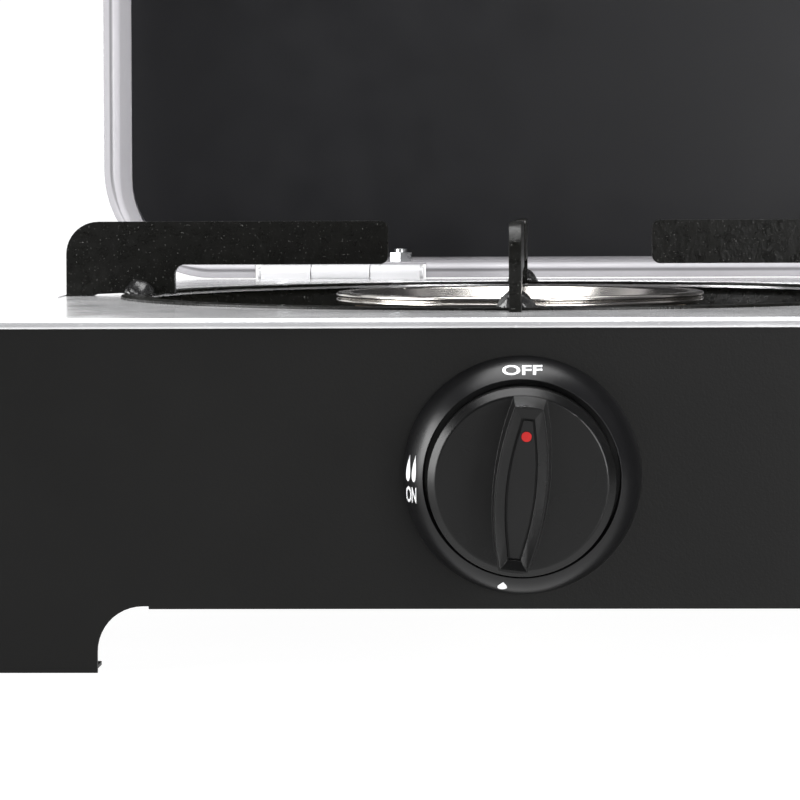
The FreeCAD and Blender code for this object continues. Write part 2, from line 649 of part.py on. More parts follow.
def make_pan_fins(name, side):
    """Four flat fins with welds to the ring, one on each side of the burner."""
    body = new_body(f"pan_fins_{name}", x=f"{side} * burner_offset", z="plate_top")
    ring_top = "(ring_thick - recess_depth)"
    profile = [
        ("fin_outer", "-recess_depth"),
        ("fin_outer", "fin_top", "fin_corner"),
        ("fin_inner", "fin_top", "fin_tip_round"),
        ("fin_inner", "fin_arm", "fin_tip_round"),
        ("fin_leg", "fin_arm", "fin_elbow_round"),
        ("fin_leg", ring_top),
        ("ring_outer + fin_ring_gap", ring_top),
        ("ring_outer + fin_slope", f"{ring_top} + fin_arch - recess_depth"),
        ("fin_foot", "fin_arch - recess_depth"),
        ("fin_foot + fin_slope", "-recess_depth"),
    ]
    pad(body, outline(body, "XZ_Plane", profile), "fin_thick", both_ways=True)
    weld = [
        ("-fin_weld_width / 2", ring_top),
        ("fin_weld_width / 2", ring_top),
        ("fin_thick / 2", "fin_weld_height"),
        ("-fin_thick / 2", "fin_weld_height"),
    ]
    weld_length = "ring_outer - ring_inner - 2 * fin_weld_inset"
    pad(body, outline(body, "YZ_Plane", weld, "ring_inner + fin_weld_inset"), weld_length)
    features = [item for item in body.Group if item.isDerivedFrom("PartDesign::Pad")]
    pattern = body.newObject("PartDesign::PolarPattern", "PolarPattern")
    pattern.Originals = features
    pattern.Axis = (features[0].Profile[0], ["V_Axis"])
    pattern.Angle = 360.0
    pattern.Occurrences = FINS
    body.Tip = pattern
    doc.recompute()


# ---- burners --------------------------------------------------------------------------------

def make_bracket(name, side):
    """A strip from the front panel to the rear panel that carries bowl and burner."""
    body = new_body(f"burner_bracket_{name}", x=f"{side} * burner_offset", z="plate_top")
    top = "(-(sheet + recess_depth) - bowl_depth - bowl_sheet)"
    end = "(body_depth / 2 - 2 * sheet)"
    inner_end = f"({end} - bracket_sheet)"
    strip = [
        (f"-{end}", f"{top} - bracket_sheet"),
        (end, f"{top} - bracket_sheet"),
        (end, f"{top} + bracket_tab"),
        (inner_end, f"{top} + bracket_tab"),
        (inner_end, top),
        (f"-{inner_end}", top),
        (f"-{inner_end}", f"{top} + bracket_tab"),
        (f"-{end}", f"{top} + bracket_tab"),
    ]
    pad(body, outline(body, "YZ_Plane", strip), "bracket_width", both_ways=True)
    holes = circles(body, "XY_Plane", [("0", "0")], "bracket_hole", top)
    pocket(body, holes, "bracket_sheet")
    screws = circles(body, "XY_Plane", screw_spots(), "screw_radius", top)
    pocket(body, screws, "bracket_sheet")


def screw_spots():
    return [("0", "-burner_screw_offset"), ("0", "burner_screw_offset")]


def bracket_top():
    return "plate_top - sheet - recess_depth - bowl_depth - bowl_sheet"


def make_burner_base(name, side):
    """The pressed cup with its neck and flange, and flame ports around the cup wall."""
    body = new_body(f"burner_base_{name}", x=f"{side} * burner_offset")
    foot = f"({bracket_top()})"
    section = [
        ("neck_bore", foot),
        ("neck_flange", foot),
        ("neck_flange", f"{foot} + neck_flange_thick"),
        ("neck_radius", f"{foot} + neck_flange_thick"),
        ("neck_radius", "tube_top", "cup_wall"),
        ("cup_radius", "cup_shoulder", "cup_round"),
        ("cup_radius", "cup_rim"),
        ("cup_radius - cup_wall", "cup_rim"),
        ("cup_radius - cup_wall", "cup_shoulder + cup_wall"),
        ("neck_bore", "tube_top + cup_wall + neck_lead"),
    ]
    revolve(body, outline(body, "XZ_Plane", section))
    port = rectangle("-port_width / 2", "port_base", "port_width / 2", "port_base + port_height")
    port_outline = outline(body, "XZ_Plane", port, "cup_radius - 2 * cup_wall")
    cut = pocket(body, port_outline, "3 * cup_wall", reverse=True)
    pattern = body.newObject("PartDesign::PolarPattern", "PolarPattern")
    pattern.Originals = [cut]
    pattern.Axis = (cut.Profile[0], ["V_Axis"])
    pattern.Angle = 360.0
    pattern.Occurrences = FLAME_PORTS
    body.Tip = pattern
    doc.recompute()
    screws = circles(body, "XY_Plane", screw_spots(), "screw_hole", f"{foot} + neck_flange_thick")
    pocket(body, screws, "neck_flange_thick")


def make_burner_cap(name, side):
    """The polished dish that closes the cup, with a rolled rim."""
    body = new_body(f"burner_cap_{name}", x=f"{side} * burner_offset")
    rim_foot = "cap_top - cap_rim_height"
    groove = "cap_top - cap_rim_height / 2"
    section = [
        ("0", "cap_dish_floor"),
        ("cap_dish_radius", "cap_dish_floor", "cap_dish_round"),
        ("cap_ridge", "cap_top", "cap_ridge_round"),
        ("cap_radius", "cap_top", "cap_rim_round"),
        ("cap_radius", f"{groove} + cap_groove_half", "cap_groove_round"),
        ("cap_radius - cap_groove_depth", f"{groove} + cap_groove_half"),
        ("cap_radius - cap_groove_depth", f"{groove} - cap_groove_half"),
        ("cap_radius", f"{groove} - cap_groove_half", "cap_groove_round"),
        ("cap_radius", rim_foot, "cap_rim_round"),
        ("cup_radius", rim_foot),
        ("cup_radius", "cup_rim"),
        ("cap_plug", "cup_rim"),
        ("cap_dish_radius - cap_sheet / 2", "cap_dish_floor - cap_sheet", "cap_dish_round"),
        ("0", "cap_dish_floor - cap_sheet"),
    ]
    revolve(body, outline(body, "XZ_Plane", section))


def make_pipe(label, plane, path, profile_plane, profile_offset, outer, inner, centre, x, y, z):
    """A tube along a path sketch, with a ring-shaped section at its start."""
    body = new_body(label, x, y, z)
    spine = new_sketch(body, plane)
    add_path(spine, path)
    ring = new_sketch(body, profile_plane, profile_offset)
    add_circle(ring, centre[0], centre[1], outer)
    add_circle(ring, centre[0], centre[1], inner)
    pipe = body.newObject("PartDesign::AdditivePipe", "Pipe")
    pipe.Profile = ring
    pipe.Spine = (spine, [f"Edge{index}" for index in range(1, 4)])
    body.Tip = pipe
    doc.recompute()
    return body


def add_path(sketch, corners):
    """Two straight runs joined by an arc, each point bound to the sheet."""
    marks = []
    for x, y in (corner[:2] for corner in corners):
        mark = sketch.addGeometry(Part.Point(Vector(0, 0, 0)), True)
        pin_down(sketch, mark, 1, x, y)
        marks.append(mark)
    sketch.recompute()
    start, middle, end = (
        Vector(sketch.Geometry[mark].X, sketch.Geometry[mark].Y, 0) for mark in marks)
    radius = corners[1][2]
    shape, first, last, left_turn = add_arc(sketch, start, middle, end, size(radius))
    before = sketch.addGeometry(Part.LineSegment(start, first), False)
    arc = sketch.addGeometry(shape, False)
    after = sketch.addGeometry(Part.LineSegment(last, end), False)
    first_end, last_end = (1, 2) if left_turn else (2, 1)
    sketch.addConstraint(Sketcher.Constraint("Coincident", before, 1, marks[0], 1))
    sketch.addConstraint(Sketcher.Constraint("Coincident", after, 2, marks[2], 1))
    sketch.addConstraint(Sketcher.Constraint("Tangent", before, 2, arc, first_end))
    sketch.addConstraint(Sketcher.Constraint("Tangent", arc, last_end, after, 1))
    sketch.addConstraint(Sketcher.Constraint("PointOnObject", marks[1], 1, before))
    sketch.addConstraint(Sketcher.Constraint("PointOnObject", marks[1], 1, after))
    index = sketch.addConstraint(Sketcher.Constraint("Radius", arc, size(radius)))
    drive(sketch, f"Constraints[{index}]", radius)


def make_mixing_tube(name, side):
    path = [("-tube_mouth", "0"), ("0", "0", "tube_bend"), ("0", "tube_top - knob_height")]
    body = make_pipe(
        f"mixing_tube_{name}", "YZ_Plane", path, "XZ_Plane", "tube_mouth",
        "tube_outer", "tube_inner", ("0", "0"), f"{side} * burner_offset", "0", "knob_height")
    bell = new_sketch(body, "XZ_Plane", "tube_mouth")
    add_circle(bell, "0", "0", "bell_outer")
    add_circle(bell, "0", "0", "tube_inner")
    pad(body, bell, "bell_length", reverse=True)


# ---- gas way --------------------------------------------------------------------------------

ALONG_Y = Rotation(Vector(1, 0, 0), -90)
ALONG_X = Rotation(Vector(0, 1, 0), 90)
OUT_OF_PANEL = Rotation(Vector(1, 0, 0), 90)


def make_gas_pipe():
    """The pipe along the front that feeds both valves and runs back to the inlet."""
    path = [
        ("-pipe_start", "-manifold_y"),
        ("inlet_x", "-manifold_y", "pipe_bend"),
        ("inlet_x", "pipe_end"),
    ]
    body = make_pipe(
        "gas_pipe", "XY_Plane", path, "YZ_Plane", "-pipe_start",
        "pipe_radius", "pipe_bore", ("-manifold_y", "0"), "0", "0", "manifold_height")
    plug = circles(body, "YZ_Plane", [("-manifold_y", "0")], "pipe_radius", "-pipe_start - pipe_plug")
    pad(body, plug, "pipe_plug")


def make_pipe_rest(name, side):
    """A rest that stands on the front panel's lower flange and holds the gas pipe."""
    body = new_body(f"pipe_rest_{name}", x=f"{side} * rest_offset")
    base = "ground_gap + sheet"
    corners = [
        ("-(body_depth / 2 - 4 * sheet)", base),
        ("-(manifold_y - pipe_radius - rest_cheek)", base),
        ("-(manifold_y - pipe_radius - rest_cheek)", "manifold_height"),
        ("-(manifold_y + pipe_radius + rest_cheek)", "manifold_height"),
        ("-(manifold_y + pipe_radius + rest_cheek)", f"{base} + rest_foot"),
        ("-(body_depth / 2 - 4 * sheet)", f"{base} + rest_foot"),
    ]
    pad(body, outline(body, "YZ_Plane", corners), "rest_width", both_ways=True)
    seat = circles(body, "YZ_Plane", [("-manifold_y", "manifold_height")], "pipe_radius")
    pocket(body, seat, "rest_width + 2 * overcut", both_ways=True)


def make_valve(name, side):
    """The gas tap: a round body for the stem on a saddle around the gas pipe."""
    x = f"{side} * knob_offset"
    face = "-(body_depth / 2 - sheet)"
    rear = f"({face} + valve_front)"
    body = cylinder(
        "valve_radius", "valve_rear - valve_front", x, rear, "knob_height", ALONG_Y)
    saddle = box(
        "2 * saddle_block", "2 * saddle_block", "knob_height - manifold_height + saddle_drop",
        f"{x} - saddle_block", "-manifold_y - saddle_block", "manifold_height - saddle_drop")
    stem_bore = cylinder(
        "washer_bore", "valve_bore_end - valve_front", x, rear, "knob_height", ALONG_Y)
    pipe_bore = cylinder(
        "pipe_radius", "4 * saddle_block", f"{x} - 2 * saddle_block", "-manifold_y",
        "manifold_height", ALONG_X)
    cut_node(f"valve_body_{name}", fused([body, saddle]), [stem_bore, pipe_bore])


def make_injector(name, side):
    x = f"{side} * knob_offset"
    start = "-(body_depth / 2 - sheet) + valve_rear"
    head = hexagon("jet_radius", "jet_hex_length", x, start, "knob_height", ALONG_Y)
    nose = cylinder(
        "jet_nose_radius", "jet_nose_length", x, f"{start} + jet_hex_length", "knob_height", ALONG_Y)
    hole = cylinder("jet_hole", "jet_hex_length + jet_nose_length", x, start, "knob_height", ALONG_Y)
    cut_node(f"injector_jet_{name}", fused([head, nose]), [hole])


def make_inlet():
    """The threaded gas inlet in the rear panel, with the nut that holds it there."""
    where = {"x": "inlet_x", "z": "manifold_height", "rotation": ALONG_Y}
    panel_inside = "body_depth / 2 - 2 * sheet"
    head = hexagon("inlet_hex", "inlet_hex_length", y=f"{panel_inside} - inlet_hex_length", **where)
    bulkhead = cylinder("bulkhead_radius", f"bulkhead_end - ({panel_inside})", y=panel_inside, **where)
    thread = cylinder("hose_thread", "hose_thread_end - bulkhead_end", y="bulkhead_end", **where)
    socket = cylinder(
        "pipe_radius", f"pipe_end - ({panel_inside} - inlet_hex_length)",
        y=f"{panel_inside} - inlet_hex_length", **where)
    bore = cylinder("inlet_bore", "hose_thread_end - pipe_end", y="pipe_end", **where)
    cut_node("gas_inlet", fused([head, bulkhead, thread]), [socket, bore])
    nut = hexagon("inlet_nut_hex", "inlet_nut_thick", y="body_depth / 2 - sheet", **where)
    thread_way = cylinder("bulkhead_radius", "inlet_nut_thick", y="body_depth / 2 - sheet", **where)
    cut_node("gas_inlet_nut", nut, [thread_way])


# ---- knobs and their valve stems ------------------------------------------------------------
# These bodies have their local +Z along the knob's axis, out of the front panel.

def knob_body(label, side, turn=0.0):
    rotation = OUT_OF_PANEL.multiply(Rotation(Vector(0, 0, 1), turn))
    return new_body(
        label, f"{side} * knob_offset", "-(body_depth / 2 - sheet)", "knob_height", rotation)


def make_dial_ring(name, side):
    body = knob_body(f"dial_ring_{name}", side)
    section = [
        ("dial_hole", "0"),
        ("dial_outer", "0"),
        ("dial_outer", "dial_foot"),
        ("dial_brow", "dial_brow_height", "dial_brow_round"),
        ("dial_inner", "dial_height"),
        ("dial_inner", "dial_floor"),
        ("dial_hole", "dial_floor"),
    ]
    revolve(body, outline(body, "XZ_Plane", section))


def boat(length, end, swell, bow, bulged=False):
    """A long outline with bowed sides; its ends are flat or bulge a little."""
    corners = [
        (f"-{end} / 2", f"-{length} / 2"),
        (f"{end} / 2", f"-{length} / 2"),
        (f"{swell} / 2", "0", bow),
        (f"{end} / 2", f"{length} / 2"),
        (f"-{end} / 2", f"{length} / 2"),
        (f"-{swell} / 2", "0", bow),
    ]
    if bulged:
        corners.insert(4, ("0", f"{length} / 2 + grip_bulge", "grip_end_round"))
        corners.insert(1, ("0", f"-{length} / 2 - grip_bulge", "grip_end_round"))
    return corners


def loft(body, first, second, grows):
    """Add or remove what lies between two outlines."""
    kind = "PartDesign::AdditiveLoft" if grows else "PartDesign::SubtractiveLoft"
    return add_feature(body, kind, first, grows, {"Sections": [second], "Ruled": True}, {})


def less(gap, *lengths):
    """Lengths with the same gap taken off both ends."""
    return [f"({length} - 2 * {gap})" for length in lengths]


def inset_boat(gap):
    """The outline of the inset, less a gap all around."""
    length, end, swell = less(gap, "inset_length", "inset_end", "inset_swell")
    return boat(length, end, swell, "inset_bow")


def make_knob(name, side):
    body = knob_body(f"knob_{name}", side, -size("knob_tilt"))
    section = [
        ("0", "stem_front"),
        ("knob_boss", "stem_front"),
        ("knob_boss", "knob_face - knob_wall"),
        ("knob_face_radius - knob_wall", "knob_face - knob_wall"),
        ("knob_skirt - knob_wall", "knob_rear"),
        ("knob_skirt", "knob_rear"),
        ("knob_skirt", "knob_shoulder"),
        ("knob_face_radius", "knob_face", "knob_round"),
        ("0", "knob_face"),
    ]
    revolve(body, outline(body, "XZ_Plane", section))
    boss = new_sketch(body, "XY_Plane", "knob_rear")
    add_circle(boss, "0", "0", "knob_boss")
    add_outline(boss, stem_key())
    pad(body, boss, "stem_front - knob_rear")
    foot = boat("grip_foot_length", "grip_foot_end", "grip_foot_swell", "grip_foot_bow", bulged=True)
    ridge = boat("grip_length", "grip_end", "grip_swell", "grip_bow", bulged=True)
    foot_outline = outline(body, "XY_Plane", foot, "knob_face")
    loft(body, foot_outline, outline(body, "XY_Plane", ridge, "grip_front"), grows=True)
    length, end, swell = less("grip_land", "grip_length", "grip_end", "grip_swell")
    dish = outline(body, "XY_Plane", boat(length, end, swell, "grip_bow"), "grip_front")
    dish_floor = outline(body, "XY_Plane", inset_boat("0"), "grip_front - grip_dish")
    loft(body, dish, dish_floor, grows=False)
    inset = outline(body, "XY_Plane", inset_boat("0"), "grip_front - grip_dish")
    pocket(body, inset, "inset_depth")


def stem_key():
    """The section of the stem's front end, with two flats."""
    return rectangle(
        "-stem_radius", "-stem_flats / 2", "stem_radius", "stem_flats / 2", "stem_key_round")


def make_knob_insert(name, side):
    body = knob_body(f"knob_insert_{name}", side, -size("knob_tilt"))
    floor = "grip_front - grip_dish - inset_depth"
    pad(body, outline(body, "XY_Plane", inset_boat("inset_gap"), floor), "insert_thick")
    dot = circles(body, "XY_Plane", [("0", "dot_offset")], "dot_radius", f"{floor} + insert_thick")
    pocket(body, dot, "dot_depth")


def make_knob_dot(name, side):
    body = knob_body(f"knob_dot_{name}", side, -size("knob_tilt"))
    foot = "grip_front - grip_dish - inset_depth + insert_thick - dot_depth"
    dot = circles(body, "XY_Plane", [("0", "dot_offset")], "dot_radius", foot)
    pad(body, dot, "dot_depth + dot_proud")


def make_valve_stem(name, side):
    body = knob_body(f"valve_stem_{name}", side, -size("knob_tilt"))
    shaft = circles(body, "XY_Plane", [("0", "0")], "stem_radius", "-stem_rear")
    pad(body, shaft, "stem_rear + stem_key_start")
    pad(body, outline(body, "XY_Plane", stem_key(), "stem_key_start"), "stem_front - stem_key_start")
    collar = circles(body, "XY_Plane", [("0", "0")], "collar_radius", "-washer_front")
    pad(body, collar, "washer_front - collar_front")


def make_spring_washer(name, side):
    body = knob_body(f"spring_washer_{name}", side)
    washer = new_sketch(body, "XY_Plane", "-washer_front")
    add_circle(washer, "0", "0", "washer_radius")
    add_circle(washer, "0", "0", "washer_bore")
    pad(body, washer, "washer_thick", reverse=True)


def make_valve_spring(name, side):
    """The coil spring between the valve body and the washer."""
    room = "(valve_front - washer_front - washer_thick)"
    rotation = OUT_OF_PANEL
    rear = "-(body_depth / 2 - sheet) + valve_front - spring_wire - spring_gap"
    lengths = {
        "Radius": "spring_radius",
        "Pitch": "spring_pitch",
        "Height": f"{room} - 2 * spring_wire - 2 * spring_gap",
    }
    coil = primitive("Part::Helix", lengths, f"{side} * knob_offset", rear, "knob_height", rotation)
    wire = primitive(
        "Part::Circle", {"Radius": "spring_wire"}, f"{side} * knob_offset + spring_radius", rear,
        "knob_height", Rotation(Vector(1, 0, 0), 0))
    spring = doc.addObject("Part::Sweep", f"valve_spring_{name}")
    spring.Label = f"valve_spring_{name}"
    spring.Sections = [wire]
    spring.Spine = (coil, ["Edge1"])
    spring.Solid = True
    spring.Frenet = True
    nodes.append(spring)


# ---- hinges, screws and nuts ----------------------------------------------------------------

LID_OPEN = Rotation(Vector(1, 0, 0), -90)


def hinge_axis(side):
    return f"{side} * hinge_offset", "hinge_y", "plate_top + hinge_rise"


def leaf_profile(body, z_low, z_high):
    """The flat of a leaf, tangent to the front of the knuckles."""
    corners = rectangle("-knuckle_radius", z_low, "-knuckle_radius + leaf_thick", z_high)
    pad(body, outline(body, "YZ_Plane", corners), "hinge_length", both_ways=True)


def leaf_holes(body, height):
    spots = [("-hinge_screw_spread", height), ("hinge_screw_spread", height)]
    holes = circles(body, "XZ_Plane", spots, "screw_hole", "knuckle_radius")
    pocket(body, holes, "leaf_thick", reverse=False)


def make_body_leaf(name, side):
    """The leaf on the rear panel, with the two outer knuckles."""
    body = new_body(f"hinge_leaf_body_{name}", *hinge_axis(side))
    leaf_profile(body, "-leaf_reach", "0")
    half_gap = "(middle_knuckle / 2 + knuckle_gap)"
    room = rectangle(f"-{half_gap}", "-leaf_room", half_gap, "overcut")
    pocket(body, outline(body, "XZ_Plane", room, "knuckle_radius"), "leaf_thick", reverse=False)
    for end in (-1, 1):
        start = f"{half_gap}" if end > 0 else "-hinge_length / 2"
        knuckle = circles(body, "YZ_Plane", [("0", "0")], "knuckle_radius", start)
        pad(body, knuckle, f"hinge_length / 2 - {half_gap}")
    bore = circles(body, "YZ_Plane", [("0", "0")], "pin_bore")
    pocket(body, bore, "hinge_length + overcut", both_ways=True)
    leaf_holes(body, "-hinge_screw_reach")


def make_lid_leaf(name, side):
    """The leaf on the lid's rear wall, with the middle knuckle."""
    body = new_body(f"hinge_leaf_lid_{name}", *hinge_axis(side), rotation=LID_OPEN)
    leaf_profile(body, "0", "leaf_reach")
    rooms = new_sketch(body, "XZ_Plane", "knuckle_radius")
    for end in (-1, 1):
        inner, outer = f"{end} * middle_knuckle / 2", f"{end} * (hinge_length / 2 + overcut)"
        low, high = (outer, inner) if end < 0 else (inner, outer)
        add_outline(rooms, rectangle(low, "-overcut", high, "leaf_room"))
    pocket(body, rooms, "leaf_thick", reverse=False)
    knuckle = circles(body, "YZ_Plane", [("0", "0")], "knuckle_radius")
    pad(body, knuckle, "middle_knuckle", both_ways=True)
    bore = circles(body, "YZ_Plane", [("0", "0")], "pin_bore")
    pocket(body, bore, "hinge_length", both_ways=True)
    leaf_holes(body, "hinge_screw_reach")


def make_hinge_pin(name, side):
    body = new_body(f"hinge_pin_{name}", *hinge_axis(side))
    pad(body, circles(body, "YZ_Plane", [("0", "0")], "pin_radius"), "hinge_length", both_ways=True)
    for end in (-1, 1):
        start = "hinge_length / 2" if end > 0 else "-hinge_length / 2 - pin_head_length"
        pad(body, circles(body, "YZ_Plane", [("0", "0")], "pin_head", start), "pin_head_length")
    tip = size("hinge_length") / 2 + size("pin_head_length")
    round_edges(body, "pin_head_length / 2", lambda edge: abs(abs(edge.CenterOfMass.x) - tip) < 0.01)


def make_hinge_screws(label, height, wall, rotation):
    """Four screws through the leaves and a wall, heads to the rear."""
    body = new_body(label, "0", "hinge_y", "plate_top + hinge_rise", rotation)
    spots = fastener_spots(height)
    head_seat = "knuckle_radius - leaf_thick"
    shanks = circles(body, "XZ_Plane", spots, "screw_radius", head_seat)
    pad(body, shanks, f"leaf_thick + {wall} + nut_thick + screw_tip")
    heads = circles(body, "XZ_Plane", spots, "screw_head", head_seat)
    pad(body, heads, "screw_head_height", reverse=True)
    rear = size("leaf_thick") - size("knuckle_radius") + size("screw_head_height")
    round_edges(body, "screw_head_height / 2", lambda edge: abs(edge.CenterOfMass.y - rear) < 0.01)


def add_hexagon(sketch, x, y, corner_radius):
    """A hexagon around a centre, with two corners on its vertical."""
    half, run = f"{corner_radius} / 2", f"{corner_radius} * sqrt(3) / 2"
    add_outline(sketch, [
        (x, f"{y} + {corner_radius}"),
        (f"{x} - {run}", f"{y} + {half}"),
        (f"{x} - {run}", f"{y} - {half}"),
        (x, f"{y} - {corner_radius}"),
        (f"{x} + {run}", f"{y} - {half}"),
        (f"{x} + {run}", f"{y} + {half}"),
    ])


def make_hinge_nuts(label, height, wall, rotation):
    body = new_body(label, "0", "hinge_y", "plate_top + hinge_rise", rotation)
    seat = f"knuckle_radius + {wall}"
    nuts = new_sketch(body, "XZ_Plane", seat)
    for x, y in fastener_spots(height):
        add_hexagon(nuts, x, y, "nut_hex")
        add_circle(nuts, x, y, "screw_radius")
    pad(body, nuts, "nut_thick")


def make_burner_screws():
    """The screws that hold both burners down on their brackets."""
    body = new_body("burner_screws", z=f"{bracket_top()} + neck_flange_thick")
    spots = []
    for name, side in SIDES:
        for x, y in screw_spots():
            spots.append((f"{side} * burner_offset", y))
    pad(body, circles(body, "XY_Plane", spots, "screw_head"), "screw_head_height")
    shanks = circles(body, "XY_Plane", spots, "screw_radius")
    pad(body, shanks, "neck_flange_thick + bracket_sheet + burner_screw_tip", reverse=True)


# ---- lid ------------------------------------------------------------------------------------
# Local frame: origin on the hinge axis, lid shut, +Y to the rear.

def lid_rectangle(inset, radius, end_inset=None):
    """A rounded rectangle set in from the edge of the lid flange."""
    half_x = f"(lid_width / 2 - {inset})"
    ends = end_inset or inset
    return rectangle(
        f"-{half_x}", f"lid_rear - lid_depth + {ends}", half_x, f"lid_rear - {ends}", radius)


def lid_loop(height, inset):
    """A test for the flat edges of a rounded rectangle set in from the lid flange."""
    half_x = size("lid_width") / 2 - inset
    rear = size("lid_rear") - inset
    front = size("lid_rear") - size("lid_depth") + inset

    def chosen(edge):
        box = edge.BoundBox
        flat = abs(box.ZMin - height) < 0.01 and abs(box.ZMax - height) < 0.01
        sides = (abs(box.XMax) - half_x, abs(box.XMin) - half_x, box.YMax - rear, box.YMin - front)
        return flat and min(abs(side) for side in sides) < 0.01
    return chosen


def make_lid_shell():
    body = new_body("lid_shell", "0", "hinge_y", "plate_top + hinge_rise", LID_OPEN)
    wall = outline(body, "XY_Plane", lid_rectangle("lid_flange", "lid_corner"), "-lid_seat")
    pad(body, wall, "lid_seat + lid_top")
    round_edges(body, "lid_round", edge_at_height(size("lid_top")))
    base = body.Tip
    mouth = [
        f"Face{index}"
        for index, face in enumerate(base.Shape.Faces, start=1)
        if abs(face.CenterOfMass.z + size("lid_seat")) < 0.01
    ]
    shell = body.newObject("PartDesign::Thickness", "Thickness")
    shell.Base = (base, mouth)
    drive(shell, "Value", "lid_sheet")
    shell.Reversed = True
    body.Tip = shell
    doc.recompute()
    flange = new_sketch(body, "XY_Plane", "-lid_seat")
    add_outline(flange, lid_rectangle("0", "lid_flange_corner"))
    add_outline(flange, lid_rectangle("(lid_flange + lid_sheet)", "lid_corner_inner"))
    pad(body, flange, "lid_sheet")
    seat, sheet = size("lid_seat"), size("lid_sheet")
    wall_inset = size("lid_flange")
    round_edges(body, "lid_bend", lid_loop(sheet - seat, wall_inset))
    round_edges(body, "lid_bend + lid_sheet", lid_loop(-seat, wall_inset + sheet))
    notches = new_sketch(body, "XY_Plane", "-lid_seat")
    for name, side in SIDES:
        middle, reach = f"{side} * hinge_offset", "(hinge_length / 2 + notch_room)"
        rear_wall = "lid_rear - lid_flange - lid_sheet - lid_notch_gap"
        notch = (f"{middle} - {reach}", rear_wall, f"{middle} + {reach}", "lid_rear + overcut")
        add_outline(notches, rectangle(*notch))
    pocket(body, notches, "lid_bend + lid_sheet", reverse=True)
    spots = fastener_spots("hinge_screw_reach")
    holes = circles(body, "XZ_Plane", spots, "screw_hole", "knuckle_radius")
    pocket(body, holes, "lid_sheet + overcut", reverse=True)


def make_lid_liner():
    """The dark panel inside the lid, with a rib on its back that meets the shell."""
    body = new_body("lid_liner", "0", "hinge_y", "plate_top + hinge_rise", LID_OPEN)
    side = "(lid_flange + lid_sheet + liner_side_gap)"
    end = "(lid_flange + lid_sheet + liner_end_gap)"
    panel = lid_rectangle(side, "liner_corner", end)
    pad(body, outline(body, "XY_Plane", panel, "liner_face"), "liner_sheet")
    rib_edge = "(lid_flange + lid_sheet + liner_rib_inset)"
    rib = new_sketch(body, "XY_Plane", "liner_face + liner_sheet")
    add_outline(rib, lid_rectangle(rib_edge, "liner_rib_corner"))
    add_outline(rib, lid_rectangle(f"({rib_edge} + liner_rib_width)", "liner_rib_corner_inner"))
    pad(body, rib, "lid_top - lid_sheet - liner_face - liner_sheet")


def main():
    make_top_plate()
    make_front_and_rear_panels()
    make_side_panels()
    for name, side in SIDES:
        make_drip_bowl(name, side)
        make_bracket(name, side)
        make_burner_base(name, side)
        make_burner_cap(name, side)
        make_mixing_tube(name, side)
        make_pipe_rest(name, side)
        make_valve(name, side)
        make_injector(name, side)
        make_valve_spring(name, side)
        make_spring_washer(name, side)
        make_valve_stem(name, side)
        make_dial_ring(name, side)
        make_knob(name, side)
        make_knob_insert(name, side)
        make_knob_dot(name, side)
        make_pan_ring(name, side)
        make_pan_fins(name, side)
        make_body_leaf(name, side)
        make_hinge_pin(name, side)
        make_lid_leaf(name, side)
    make_gas_pipe()
    make_inlet()
    make_burner_screws()
    make_hinge_screws("hinge_screws_body", "-hinge_screw_reach", "sheet", Rotation())
    make_hinge_nuts("hinge_nuts_body", "-hinge_screw_reach", "sheet", Rotation())
    make_hinge_screws("hinge_screws_lid", "hinge_screw_reach", "lid_sheet", LID_OPEN)
    make_hinge_nuts("hinge_nuts_lid", "hinge_screw_reach", "lid_sheet", LID_OPEN)
    make_lid_shell()
    make_lid_liner()
    doc.recompute()
    write_nodes()


def write_nodes():
    """Check every object and every node, then write one STEP file per node."""
    failed = [item.Name for item in doc.Objects if {"Invalid", "Error"} & set(item.State)]
    if failed:
        raise RuntimeError(f"objects that failed: {failed}")
    for node in nodes:
        if node.Shape.isNull() or not node.Shape.isValid() or not node.Shape.Solids:
            raise RuntimeError(f"{node.Label} has no valid solid")
    os.makedirs("parts", exist_ok=True)
    for node in nodes:
        node.Shape.exportStep(f"parts/{node.Label}.step")
        print(f"{node.Label}: {len(node.Shape.Solids)} solids, {node.Shape.Volume:.1f} mm3")


main()
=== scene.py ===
import json
import math

import bmesh
import bpy
from mathutils import Matrix, Vector, noise
from mathutils.bvhtree import BVHTree


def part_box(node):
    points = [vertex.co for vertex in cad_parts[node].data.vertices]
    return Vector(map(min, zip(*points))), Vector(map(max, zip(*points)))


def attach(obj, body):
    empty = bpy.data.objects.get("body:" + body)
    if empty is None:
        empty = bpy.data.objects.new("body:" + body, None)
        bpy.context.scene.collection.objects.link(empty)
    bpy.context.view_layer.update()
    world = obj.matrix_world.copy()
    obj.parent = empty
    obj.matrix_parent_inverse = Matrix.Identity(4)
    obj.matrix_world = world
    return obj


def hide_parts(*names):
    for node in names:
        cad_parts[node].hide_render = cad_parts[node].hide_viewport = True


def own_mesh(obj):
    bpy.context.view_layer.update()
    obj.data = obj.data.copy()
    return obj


# Looks of a two-burner camping stove, in metres, in the frame's axes: +X to the right of someone
# in front of it, +Y to the rear, +Z up, the origin on the ground under the middle.

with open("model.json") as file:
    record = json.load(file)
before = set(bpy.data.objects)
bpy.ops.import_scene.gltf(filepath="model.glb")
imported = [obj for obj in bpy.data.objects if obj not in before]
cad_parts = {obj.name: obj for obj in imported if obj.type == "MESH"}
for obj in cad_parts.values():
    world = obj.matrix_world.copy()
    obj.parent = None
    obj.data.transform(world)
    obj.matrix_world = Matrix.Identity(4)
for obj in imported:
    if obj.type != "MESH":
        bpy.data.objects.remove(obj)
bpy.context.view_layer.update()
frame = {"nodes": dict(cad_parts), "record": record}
MM = 0.001
SIDES = ("left", "right")


# ---- camera and light -------------------------------------------------------------------------

